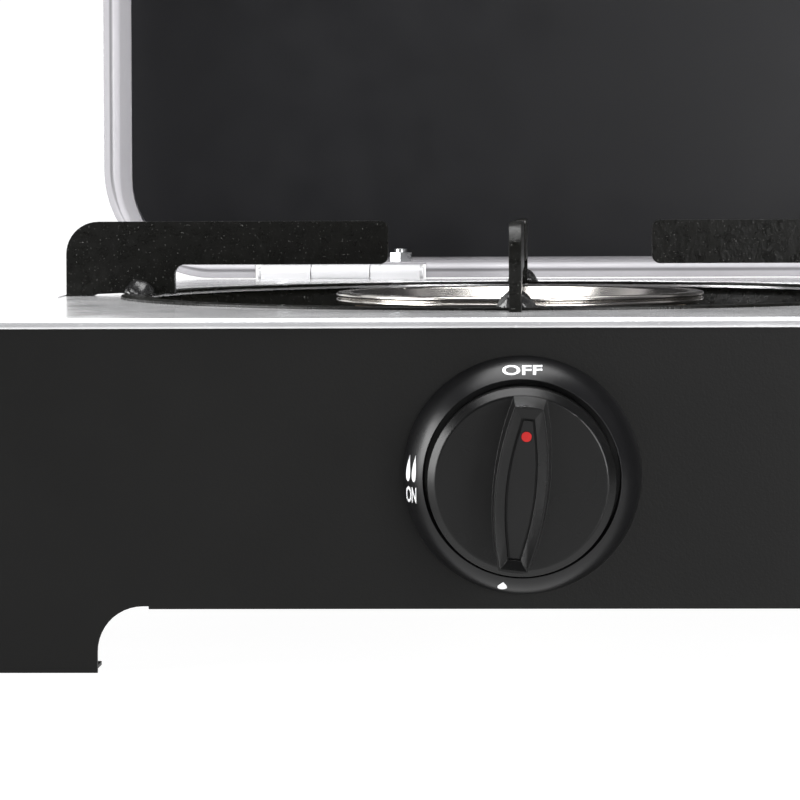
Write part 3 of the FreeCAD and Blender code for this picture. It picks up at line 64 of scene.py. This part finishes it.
IMAGE_SIZE = 800
FOCAL_PIXELS = 2560
SENSOR = 36.0                       # mm
CAMERA_PLACE = Vector((-0.1267, -0.6909, 0.0988))
CAMERA_YAW = math.radians(1.0)      # to the left
CAMERA_PITCH = math.radians(1.0)    # down
CAMERA_ROLL = -0.0036               # radians
CLIP_START = 0.01
# where a line straight to the rear ends in the picture, in pixels from its top left corner
FORWARD_X, FORWARD_Y = 542.9, 207.3

# The surroundings' light: how far to the rear a direction points, from 0 to 1, and its colour
WORLD_FRONT = 0.55, (0.1, 0.1, 0.11, 1)
WORLD_BACK = 0.85, (1.1, 1.1, 1.1, 1)


def make_camera():
    data = bpy.data.cameras.new("camera")
    data.sensor_width = SENSOR
    data.lens = FOCAL_PIXELS * SENSOR / IMAGE_SIZE
    centre_x = FORWARD_X - FOCAL_PIXELS * math.tan(CAMERA_YAW)
    centre_y = FORWARD_Y + FOCAL_PIXELS * math.tan(CAMERA_PITCH)
    data.shift_x = 0.5 - centre_x / IMAGE_SIZE
    data.shift_y = centre_y / IMAGE_SIZE - 0.5
    data.clip_start = CLIP_START
    camera = bpy.data.objects.new("camera", data)
    turn = (
        Matrix.Rotation(CAMERA_YAW, 4, "Z")
        @ Matrix.Rotation(math.pi / 2 - CAMERA_PITCH, 4, "X")
        @ Matrix.Rotation(CAMERA_ROLL, 4, "Z")
    )
    camera.matrix_world = Matrix.Translation(CAMERA_PLACE) @ turn
    bpy.context.scene.collection.objects.link(camera)
    bpy.context.scene.camera = camera


def soft_box(name, place, target, width, height, power, glossy=True):
    """A white area lamp. Where it isn't glossy, it lights surfaces but isn't reflected in them."""
    data = bpy.data.lights.new(name, "AREA")
    data.shape = "RECTANGLE"
    data.size = width
    data.size_y = height
    data.energy = power
    lamp = bpy.data.objects.new(name, data)
    lamp.location = place
    aim = Vector(target) - Vector(place)
    lamp.rotation_euler = aim.to_track_quat("-Z", "Y").to_euler()
    lamp.visible_glossy = glossy
    bpy.context.scene.collection.objects.link(lamp)


def make_light():
    """Bright surroundings at the rear, dim ones in front, and four lamps."""
    world = bpy.data.worlds.new("studio")
    bpy.context.scene.world = world
    world.use_nodes = True
    tree = world.node_tree
    coords = tree.nodes.new("ShaderNodeTexCoord")
    split = tree.nodes.new("ShaderNodeSeparateXYZ")
    rise = tree.nodes.new("ShaderNodeMapRange")
    ramp = tree.nodes.new("ShaderNodeValToRGB")
    tree.links.new(coords.outputs["Generated"], split.inputs[0])
    tree.links.new(split.outputs["Y"], rise.inputs["Value"])
    rise.inputs["From Min"].default_value = -1.0
    tree.links.new(rise.outputs["Result"], ramp.inputs["Fac"])
    front, back = ramp.color_ramp.elements
    front.position, front.color = WORLD_FRONT
    back.position, back.color = WORLD_BACK
    tree.links.new(ramp.outputs["Color"], tree.nodes["Background"].inputs["Color"])
    soft_box("side", (-1.45, -0.35, 0.35), (-0.13, -0.16, 0.05), 0.9, 0.8, 28)
    soft_box("top", (-0.2, 0.1, 1.7), (0, 0, 0.1), 1.6, 1.2, 42)
    soft_box("fill", (0.85, -1.8, 0.35), (-0.1, -0.15, 0.05), 0.8, 0.8, 30)
    soft_box("key", (1.8, -0.3, 0.9), (-0.1, 0.1, 0.15), 1.2, 1.0, 80, glossy=False)
    bpy.context.scene.view_settings.view_transform = "Standard"


# ---- materials --------------------------------------------------------------------------------

NOISE_LOW, NOISE_HIGH = 0.3, 0.7    # the part of a noise's range that is used
SPECK_LIMIT = 0.75                  # noise above which a speck shows, when its share is 0
SPECK_GAIN = 0.3                    # how far that limit falls when the share is 1
SPECK_BLUR = 0.05
BEVEL_SAMPLES = 4

FLANGE_CORNER = 36 * MM     # corner of the lid flange's outline
# A darker line along the lid's flange is painted shadow: the shade that its folded edge would
# cast.
HEM_INSET = 2.5 * MM        # the flange's folded edge ends this far inside that outline, where a painted shadow line runs
HEM_HALF = 0.75 * MM        # half the width of the painted shadow line there
HEM_CORE = 0.3              # share of that half that is fully dark
HEM_SHADOW_TONE = 0.4             # the painted shadow line's colour against the lid's
HEM_DEPTH = 0.3 * MM, 0.5 * MM      # the painted shadow line fades out between these depths behind the front


class Nodes:
    """Adds shader nodes to one material and joins them up."""

    def __init__(self, name):
        self.material = bpy.data.materials.new(name)
        self.material.use_nodes = True
        self.tree = self.material.node_tree
        self.shader = self.tree.nodes["Principled BSDF"]

    def add(self, kind, settings=None, **inputs):
        node = self.tree.nodes.new(kind)
        for key, value in (settings or {}).items():
            setattr(node, key, value)
        self.fill(node, **inputs)
        return node

    def fill(self, node, **inputs):
        for key, value in inputs.items():
            self.plug(node.inputs[key.replace("_", " ")], value)

    def plug(self, socket, value):
        """Join another node's output to a socket, or set the socket to a value or a colour."""
        if isinstance(value, bpy.types.NodeSocket):
            self.tree.links.new(value, socket)
        elif socket.type == "RGBA":
            socket.default_value = (*value, 1)
        else:
            socket.default_value = value

    def places(self, stretch=(1, 1, 1)):
        coords = self.add("ShaderNodeTexCoord")
        mapping = self.add("ShaderNodeMapping", Vector=coords.outputs["Object"], Scale=stretch)
        return mapping.outputs[0]

    def noise(self, vector, size_mm, detail=2.0, roughness=0.5):
        node = self.add(
            "ShaderNodeTexNoise", Vector=vector, Scale=1 / (size_mm * MM), Detail=detail,
            Roughness=roughness)
        return node.outputs[0]

    def spread(self, value, low, high, from_low=NOISE_LOW, from_high=NOISE_HIGH):
        """Stretch a value's range to another one and cut it off at its ends."""
        node = self.add(
            "ShaderNodeMapRange", Value=value, From_Min=from_low, From_Max=from_high,
            To_Min=low, To_Max=high)
        return node.outputs[0]

    def mix(self, factor, first, second):
        node = self.add("ShaderNodeMix", {"data_type": "RGBA"}, Factor=factor)
        # A mix node has sockets for every kind of data: these are the ones for colours.
        self.plug(node.inputs[6], first)
        self.plug(node.inputs[7], second)
        return node.outputs[2]

    def bump(self, height, depth_mm, normal):
        node = self.add("ShaderNodeBump", Height=height, Distance=depth_mm * MM)
        self.tree.links.new(normal, node.inputs["Normal"])
        return node.outputs[0]

    def math(self, operation, first, second=0.0):
        node = self.add("ShaderNodeMath", {"operation": operation})
        self.plug(node.inputs[0], first)
        self.plug(node.inputs[1], second)
        return node.outputs[0]

    def hem_shadow(self, low, high, corner, inset, half_width):
        """1 on a line that follows a rounded rectangle's outline inside it, 0 elsewhere: where
        painted shadow darkens the lid along its folded edge.
        The rectangle stands upright between the corners low and high and faces forward."""
        middle, half = (low + high) / 2, (high - low) / 2
        place = self.add("ShaderNodeSeparateXYZ", Vector=self.places())
        sides = []
        for axis, centre, reach in (("X", middle.x, half.x), ("Z", middle.z, half.z)):
            away = self.math("ABSOLUTE", self.math("SUBTRACT", place.outputs[axis], centre))
            sides.append(self.math("SUBTRACT", away, reach - corner))
        squares = []
        for side in sides:
            past = self.math("MAXIMUM", side)
            squares.append(self.math("MULTIPLY", past, past))
        outside = self.math("SQRT", self.math("ADD", *squares))
        inside = self.math("MINIMUM", self.math("MAXIMUM", *sides))
        distance = self.math("ADD", outside, inside)
        from_line = self.math("ABSOLUTE", self.math("SUBTRACT", distance, corner - inset))
        on_line = self.spread(from_line, 1, 0, HEM_CORE * half_width, half_width)
        full, none = HEM_DEPTH
        on_front = self.spread(place.outputs["Y"], 1, 0, low.y + full, low.y + none)
        return self.math("MULTIPLY", on_line, on_front)

    def soft_edges(self, radius_mm):
        settings = {"samples": BEVEL_SAMPLES}
        return self.add("ShaderNodeBevel", settings, Radius=radius_mm * MM).outputs[0]


def shade(colour, factor):
    return tuple(min(1.0, c * factor) for c in colour)


def finish(
    name, colour, metallic, roughness, mottle=0.1, mottle_mm=40.0, smudge=0.06, smudge_mm=15.0,
    grain_mm=0.4, grain_depth=0.01, wave_mm=None, wave_depth=0.0, stretch=(1, 1, 1),
    specular=0.5, specks=None, edge_mm=0.3, hem_shadow=None,
):
    """A material with uneven tone (mottle), uneven gloss (smudge), a fine grain and sometimes
    waves. specks is (size in mm, share from 0 to 1, colour); hem is what Nodes.hem takes, and
    darkens a line along the lid's folded edge as painted shadow."""
    nodes = Nodes(name)
    places = nodes.places(stretch)
    tone = nodes.noise(places, mottle_mm, 4.0)
    paint = nodes.mix(
        nodes.spread(tone, 0, 1), shade(colour, 1 - mottle), shade(colour, 1 + mottle))
    # Light specks of a given colour. On the black enamel they are painted glints, standing in for
    # the highlights its lumps would catch.
    if specks:
        size, share, speck_colour = specks
        dust_and_glints = nodes.noise(nodes.places(), size, 1.0)
        limit = SPECK_LIMIT - SPECK_GAIN * share
        shown = nodes.spread(dust_and_glints, 0, 1, limit, limit + SPECK_BLUR)
        paint = nodes.mix(shown, paint, speck_colour)
    # Painted shadow: a darker line along the lid's folded edge.
    if hem_shadow:
        paint = nodes.mix(nodes.hem_shadow(*hem_shadow), paint, shade(colour, HEM_SHADOW_TONE))
    gloss = nodes.noise(places, smudge_mm, 3.0)
    grain = nodes.noise(places, grain_mm, 2.0)
    normal = nodes.bump(grain, grain_depth, nodes.soft_edges(edge_mm))
    if wave_mm:
        normal = nodes.bump(nodes.noise(places, wave_mm, 1.0), wave_depth, normal)
    nodes.fill(
        nodes.shader, Base_Color=paint, Metallic=metallic,
        Roughness=nodes.spread(gloss, roughness - smudge, roughness + smudge),
        Specular_IOR_Level=specular, Normal=normal)
    return nodes.material


def make_materials():
    """One finish for each material slot of the record, one for the marks and one for the welds."""
    # Where the painted shadow line along the lid's folded edge lies.
    hem_shadow = (*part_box("lid_shell"), FLANGE_CORNER, HEM_INSET, HEM_HALF)
    return {
        "polished_steel": finish(
            "polished_steel", (0.82, 0.82, 0.83), 0.72, 0.2, mottle=0.05, smudge=0.05,
            smudge_mm=22, grain_mm=1.2, grain_depth=0.004, wave_mm=9, wave_depth=0.02,
            specks=(1.1, 0.1, (0.97, 0.97, 0.97)), edge_mm=0.5),
        "black_panel": finish(
            "black_panel", (0.0042, 0.0042, 0.004), 0, 0.44, mottle=0.12, smudge=0.04,
            grain_mm=0.45, grain_depth=0.03, specular=0.16),
        "gas_pipe_steel": finish("gas_pipe_steel", (0.42, 0.43, 0.44), 1, 0.35, grain_depth=0.005),
        "brass": finish("brass", (0.72, 0.49, 0.2), 1, 0.3, mottle=0.12, grain_depth=0.006),
        "zinc_screws": finish(
            "zinc_screws", (0.6, 0.61, 0.62), 1, 0.3, mottle=0.08, mottle_mm=6, smudge_mm=3,
            grain_depth=0.005),
        "lid_silver": finish(
            "lid_silver", (0.34, 0.333, 0.35), 0.1, 0.4, mottle=0.025, smudge=0.04,
            grain_mm=0.35, grain_depth=0.012, edge_mm=0.4, hem_shadow=hem_shadow),
        "lid_black": finish(
            "lid_black", (0.0035, 0.0036, 0.0045), 0, 0.42, mottle=0.1, smudge=0.04,
            grain_mm=0.5, grain_depth=0.012, specular=0.24),
        # The enamel's light grey specks are painted glints, the highlights of its lumps.
        "black_enamel": finish(
            "black_enamel", (0.0032, 0.0032, 0.0026), 0, 0.31, mottle=0.2, mottle_mm=12,
            smudge=0.1, smudge_mm=2.5, grain_mm=0.7, grain_depth=0.06, wave_mm=1.8,
            wave_depth=0.08, specular=0.17, specks=(0.5, 0.16, (0.09, 0.09, 0.085))),
        "galvanised": finish(
            "galvanised", (0.55, 0.57, 0.58), 1, 0.42, mottle=0.18, mottle_mm=14, smudge=0.1,
            smudge_mm=9, grain_mm=0.8, grain_depth=0.008),
        "burner_steel": finish(
            "burner_steel", (0.62, 0.47, 0.34), 0.8, 0.34, mottle=0.22, mottle_mm=10,
            smudge=0.08, stretch=(1, 1, 8), grain_depth=0.006),
        "burner_polished": finish(
            "burner_polished", (0.72, 0.69, 0.65), 1, 0.2, mottle=0.05, smudge=0.05,
            grain_mm=0.8, grain_depth=0.003),
        "mixing_tube_steel": finish(
            "mixing_tube_steel", (0.5, 0.5, 0.51), 1, 0.4, mottle=0.12, grain_depth=0.008),
        "spring_steel": finish("spring_steel", (0.5, 0.5, 0.5), 1, 0.3, grain_depth=0.004),
        "stem_steel": finish("stem_steel", (0.62, 0.62, 0.6), 1, 0.26, grain_depth=0.004),
        "dial_black": finish(
            "dial_black", (0.0035, 0.0035, 0.0038), 0, 0.33, mottle=0.1, grain_mm=0.3,
            grain_depth=0.008, specular=0.27, edge_mm=0.25),
        "knob_black": finish(
            "knob_black", (0.0027, 0.0027, 0.0027), 0, 0.3, mottle=0.06, grain_mm=0.25,
            grain_depth=0.01, specular=0.24, edge_mm=0.25),
        "insert_black": finish(
            "insert_black", (0.0045, 0.0045, 0.0045), 0, 0.4, mottle=0.06, grain_mm=0.25,
            grain_depth=0.01, specular=0.22, edge_mm=0.15),
        "dot_red": finish(
            "dot_red", (0.36, 0.005, 0.004), 0, 0.5, mottle=0.08, mottle_mm=1,
            grain_depth=0.004, specular=0.3, edge_mm=0.15),
        "hinge_plated": finish(
            "hinge_plated", (0.6, 0.6, 0.61), 0.15, 0.32, mottle=0.03, mottle_mm=10,
            smudge=0.05, smudge_mm=6, grain_depth=0.004),
        "mark_white": finish(
            "mark_white", (0.82, 0.83, 0.84), 0, 0.5, mottle=0.04, mottle_mm=2, grain_mm=0.15,
            grain_depth=0.006),
        "weld_steel": finish(
            "weld_steel", (0.012, 0.012, 0.012), 0, 0.24, mottle=0.5, mottle_mm=2.5, smudge=0.12,
            smudge_mm=1.5, grain_mm=0.5, grain_depth=0.05),
    }


# ---- pieces -----------------------------------------------------------------------------------

FLOOR_REACH = 12.0
FLOOR_DROP = 0.2 * MM       # under the feet, so that the two don't share a plane
FLOOR_GLOW = 0.96

MARK_LIFT = 0.06 * MM       # a mark's back in front of the dial ring
MARK_THICKNESS = 0.12 * MM
MARK_STEP = 0.35 * MM       # a mark is cut at this spacing, so that it can bend
MARK_MERGE = 0.001 * MM
LETTER_WEIGHT = 0.02        # letters are fattened by this much of their height
FLAME_POINTS = 28
FLAME_BELLY = 0.95
FLAME_TAPER = 0.7
SIGHT_START = 0.1           # how far in front of the dial ring a ray starts

SPRING_WIRE = 0.45 * MM     # its radius
SPRING_TURNS = 2.9
WIRE_SIDES = 10
TURN_STEPS = 28

BEAD_LENGTH = 3.8 * MM      # a weld bead from its middle: along the fin, away from it, upwards
BEAD_REACH = 3.7 * MM
BEAD_RISE = 4.0 * MM
BEAD_LEAN = 0.55            # how much narrower a bead is at its top
BEAD_FLAT = 0.04            # what is left of its lower half
BEAD_LUMPS = (0.16, 1.7), (0.07, 5)     # size and density of its lumps, large and small
BEAD_SEED = 97
BEAD_INSET = 3.6 * MM       # from the ring's outside to a bead's middle
BEAD_OFFSET = 1.1 * MM      # from the fin's middle plane to a bead's middle


def new_piece(name, mesh, material, body):
    piece = bpy.data.objects.new(name, mesh)
    bpy.context.scene.collection.objects.link(piece)
    mesh.materials.append(material)
    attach(piece, body)
    return piece


def middle_of(node):
    """A CAD node's middle and the two corners of its box."""
    low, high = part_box(node)
    return (low + high) / 2, low, high


def on_dial(ring, middle, across, up):
    """The point of a dial ring's front that is seen at a place beside the knob's axis."""
    start = Vector((middle.x + across, middle.y - SIGHT_START, middle.z + up))
    spot, normal, _, _ = ring.ray_cast(start, Vector((0, 1, 0)))
    return spot + normal * MARK_LIFT


def lettering(text, width, height):
    """Flat letters stretched to a width and a height, centred on their middle."""
    curve = bpy.data.curves.new(text, "FONT")
    curve.body = text
    curve.offset = LETTER_WEIGHT
    letters = bpy.data.objects.new(text, curve)
    bpy.context.scene.collection.objects.link(letters)
    bpy.context.view_layer.update()
    mesh = bpy.data.meshes.new_from_object(letters)
    bpy.data.objects.remove(letters)
    bpy.data.curves.remove(curve)
    spots = [vertex.co.copy() for vertex in mesh.vertices]
    low = Vector([min(spot[axis] for spot in spots) for axis in range(2)] + [0])
    high = Vector([max(spot[axis] for spot in spots) for axis in range(2)] + [0])
    for vertex in mesh.vertices:
        spot = vertex.co - (low + high) / 2
        vertex.co = (spot.x * width / (high.x - low.x), spot.y * height / (high.y - low.y), 0)
    return mesh


def flame(width, height, lean):
    """A flat drop-shaped flame whose tip leans to one side."""
    mesh = bpy.data.meshes.new("flame")
    rim = []
    for step in range(FLAME_POINTS):
        turn = 2 * math.pi * step / FLAME_POINTS
        rise = (1 - math.cos(turn)) / 2
        belly = math.sin(turn) * (1 - rise) ** FLAME_TAPER * FLAME_BELLY
        rim.append((width * (belly / 2 + lean * rise ** 2), height * (rise - 0.5), 0))
    mesh.from_pydata(rim, [], [tuple(range(FLAME_POINTS))])
    return mesh


def press_on(side, name, mesh, across, up, material):
    """Bend a flat mark onto a dial ring, with its middle at a place beside the knob's axis."""
    node = f"dial_ring_{side}"
    middle, _, _ = middle_of(node)
    ring = BVHTree.FromObject(frame["nodes"][node], bpy.context.evaluated_depsgraph_get())
    shape = bmesh.new()
    shape.from_mesh(mesh)
    bmesh.ops.triangulate(shape, faces=shape.faces[:])
    reach = max(max(abs(vertex.co.x), abs(vertex.co.y)) for vertex in shape.verts)
    for direction in (Vector((1, 0, 0)), Vector((0, 1, 0))):
        for line in range(int(-reach / MARK_STEP), int(reach / MARK_STEP) + 1):
            geometry = shape.verts[:] + shape.edges[:] + shape.faces[:]
            bmesh.ops.bisect_plane(
                shape, geom=geometry, dist=MARK_MERGE, plane_co=direction * line * MARK_STEP,
                plane_no=direction)
    for vertex in shape.verts:
        vertex.co = on_dial(ring, middle, across + vertex.co.x, up + vertex.co.y)
    shape.normal_update()
    if sum(face.normal.y * face.calc_area() for face in shape.faces) > 0:
        bmesh.ops.reverse_faces(shape, faces=shape.faces[:])
    shape.to_mesh(mesh)
    shape.free()
    mark = new_piece(f"{name}_{side}", mesh, material, "stove")
    thickness = mark.modifiers.new("thickness", "SOLIDIFY")
    thickness.thickness = MARK_THICKNESS
    thickness.offset = -1


def make_dial_marks(material):
    """Off above the knob, on with two flames to its left, a small flame below it."""
    for side in SIDES:
        press_on(
            side, "mark_off", lettering("OFF", 8.4 * MM, 1.9 * MM), 0.1 * MM, 22.6 * MM, material)
        press_on(
            side, "mark_on", lettering("ON", 2.3 * MM, 3.4 * MM), -23.3 * MM, -3.6 * MM, material)
        for index, across in enumerate((-24.0 * MM, -22.7 * MM)):
            press_on(
                side, f"mark_flame_{index}", flame(1.35 * MM, 5.6 * MM, 0.35), across,
                2.0 * MM, material)
        press_on(
            side, "mark_low", flame(3.0 * MM, 1.9 * MM, 0.1), -4.3 * MM, -22.6 * MM, material)


def weld_bead(name, foot, along, across, material, body):
    """A lumpy bead in the corner between a fin and the ring."""
    shape = bmesh.new()
    bmesh.ops.create_icosphere(shape, subdivisions=4, radius=1)
    seed = Vector((foot.x, foot.y, 0)) * BEAD_SEED
    for vertex in shape.verts:
        lump = sum(size * noise.noise(vertex.co * density + seed) for size, density in BEAD_LUMPS)
        spot = vertex.co * (1 + lump)
        if spot.z < 0:
            spot.z *= BEAD_FLAT
        lean = 1 - BEAD_LEAN * max(spot.z, 0)
        spot = (
            along * spot.x * BEAD_LENGTH
            + across * (spot.y * BEAD_REACH * lean)
            + Vector((0, 0, spot.z * BEAD_RISE)))
        vertex.co = foot + spot
    mesh = bpy.data.meshes.new(name)
    shape.to_mesh(mesh)
    shape.free()
    for face in mesh.polygons:
        face.use_smooth = True
    bead = new_piece(name, mesh, material, body)


def make_welds(material):
    """A bead on both flanks of each fin, where it crosses the ring of its pan support."""
    for side in SIDES:
        ring, low, high = middle_of(f"pan_ring_{side}")
        radius = (high.x - low.x) / 2 - BEAD_INSET
        for turn in range(4):
            along = Matrix.Rotation(turn * math.pi / 2, 3, "Z") @ Vector((1, 0, 0))
            across = Vector((-along.y, along.x, 0))
            for flank in (-1, 1):
                foot = Vector((ring.x, ring.y, high.z)) + along * radius
                foot += across * flank * BEAD_OFFSET
                name = f"weld_{side}_{turn}_{'a' if flank < 0 else 'b'}"
                weld_bead(name, foot, along, across, material, f"pan_support_{side}")


def make_springs(material):
    """Coils of wire in place of the CAD springs."""
    for side in SIDES:
        middle, low, high = middle_of(f"valve_spring_{side}")
        radius = (high.x - low.x) / 2 - SPRING_WIRE
        length = high.y - low.y - 2 * SPRING_WIRE
        count = int(SPRING_TURNS * TURN_STEPS)
        spots, faces = [], []
        for step in range(count + 1):
            turn = 2 * math.pi * step / TURN_STEPS
            outwards = Vector((math.cos(turn), 0, math.sin(turn)))
            spot = Vector((middle.x, high.y - SPRING_WIRE - length * step / count, middle.z))
            spot += outwards * radius
            for part in range(WIRE_SIDES):
                angle = 2 * math.pi * part / WIRE_SIDES
                ring = outwards * math.cos(angle) + Vector((0, 1, 0)) * math.sin(angle)
                spots.append(spot + ring * SPRING_WIRE)
        for step in range(count):
            here, there = step * WIRE_SIDES, (step + 1) * WIRE_SIDES
            for part in range(WIRE_SIDES):
                after = (part + 1) % WIRE_SIDES
                faces.append((here + part, here + after, there + after, there + part))
        last = count * WIRE_SIDES
        faces.append(tuple(range(WIRE_SIDES)))
        faces.append(tuple(reversed(range(last, last + WIRE_SIDES))))
        mesh = bpy.data.meshes.new(f"spring_{side}")
        mesh.from_pydata(spots, [], faces)
        for face in mesh.polygons[:-2]:
            face.use_smooth = True
        spring = new_piece(f"spring_{side}", mesh, material, "stove")
        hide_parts(f"valve_spring_{side}")
        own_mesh(spring)


def clad_cad_nodes(materials):
    """Every CAD node takes the finish of its material slot in the record."""
    for part in frame["record"]["subparts"]:
        node = frame["nodes"][part["node"]]
        node.data.materials.clear()
        node.data.materials.append(materials[part["material_slot"]])


def make_floor():
    """A pale floor that glows, so that little shadow lies under the stove."""
    mesh = bpy.data.meshes.new("floor")
    turns = ((-1, -1), (1, -1), (1, 1), (-1, 1))
    corners = [(FLOOR_REACH * x, FLOOR_REACH * y, 0) for x, y in turns]
    mesh.from_pydata(corners, [], [(0, 1, 2, 3)])
    floor = bpy.data.objects.new("floor", mesh)
    bpy.context.scene.collection.objects.link(floor)
    floor.location.z = -FLOOR_DROP
    paper = finish(
        "floor_paper", (0.1, 0.1, 0.1), 0, 0.7, mottle=0.01, mottle_mm=300, grain_mm=2,
        grain_depth=0.02)
    glow = paper.node_tree.nodes["Principled BSDF"]
    glow.inputs["Emission Color"].default_value = (1, 1, 1, 1)
    glow.inputs["Emission Strength"].default_value = FLOOR_GLOW
    mesh.materials.append(paper)


make_camera()
make_light()
make_floor()
finishes = make_materials()
clad_cad_nodes(finishes)
make_dial_marks(finishes["mark_white"])
make_welds(finishes["weld_steel"])
make_springs(finishes["spring_steel"])
